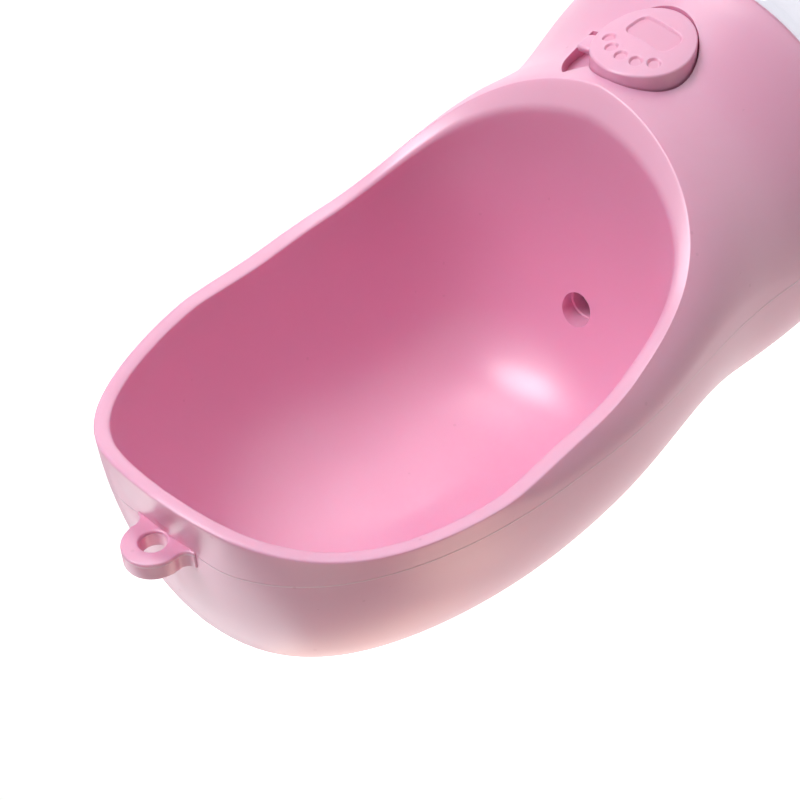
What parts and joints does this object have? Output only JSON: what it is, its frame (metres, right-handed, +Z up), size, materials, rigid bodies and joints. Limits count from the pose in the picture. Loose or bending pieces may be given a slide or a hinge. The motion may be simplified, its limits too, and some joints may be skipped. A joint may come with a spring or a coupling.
{
  "type": "travel drinking bottle",
  "caption": "Upright clear bottle with a screw-on drinking scoop: a deep oval trough, a round lockable push button for the water valve, and an eyelet at the tip.",
  "frame": {"origin": "centre of the bottle's flat base", "axes": "+Z up along the bottle to the scoop's tip; the button and the scoop's mouth face -Y"},
  "size_m": [0.0762, 0.073, 0.2379],
  "materials": {
    "pink_plastic": "satin-gloss moulded",
    "clear_plastic": "clear moulded",
    "white_plastic": "moulded",
    "silicone": "matt silicone",
    "steel": "plain"
  },
  "bodies": {
    "bottle": {"bottle": "clear_plastic"},
    "gasket": {"neck_gasket": "silicone"},
    "head": {"head_shell": "pink_plastic", "valve_body": "white_plastic", "valve_screws": "steel", "plate_seal": "silicone", "inlet_screen": "steel", "screen_ring": "white_plastic", "outlet_seal": "silicone", "barrel_plug": "white_plastic", "plug_seal": "silicone", "stem_seal": "silicone", "stem_seal_retainer": "white_plastic", "spring_seat": "steel", "return_spring": "steel"},
    "plunger": {"plunger": "white_plastic", "valve_seal": "silicone", "button_clip": "steel", "button_friction_ring": "silicone"},
    "button": {"button_cap": "pink_plastic"}
  },
  "joints": [
    {"name": "head_rise", "type": "slide", "parent": "bottle", "child": "gasket", "axis": [0, 0, 1], "range_m": [0, 0.0071]},
    {"name": "head_turn", "type": "hinge", "parent": "gasket", "child": "head", "pos_m": [0, 0, 0.1115], "axis": [0, 0, 1], "range_deg": [0, 420]},
    {"name": "button_press", "type": "slide", "parent": "head", "child": "plunger", "axis": [0, 1, 0], "range_m": [0, 0.003], "stiffness_N_per_m": 1500, "springref_m": -0.0012, "deforming": ["return_spring"]},
    {"name": "lock_turn", "type": "hinge", "parent": "plunger", "child": "button", "pos_m": [0, -0.0255, 0.1221], "axis": [0, -1, 0], "range_deg": [0, 25]}
  ],
  "couplings": [
    {"joint": "head_rise", "follows": "head_turn", "m_per_rad": 0.00095493}
  ]
}
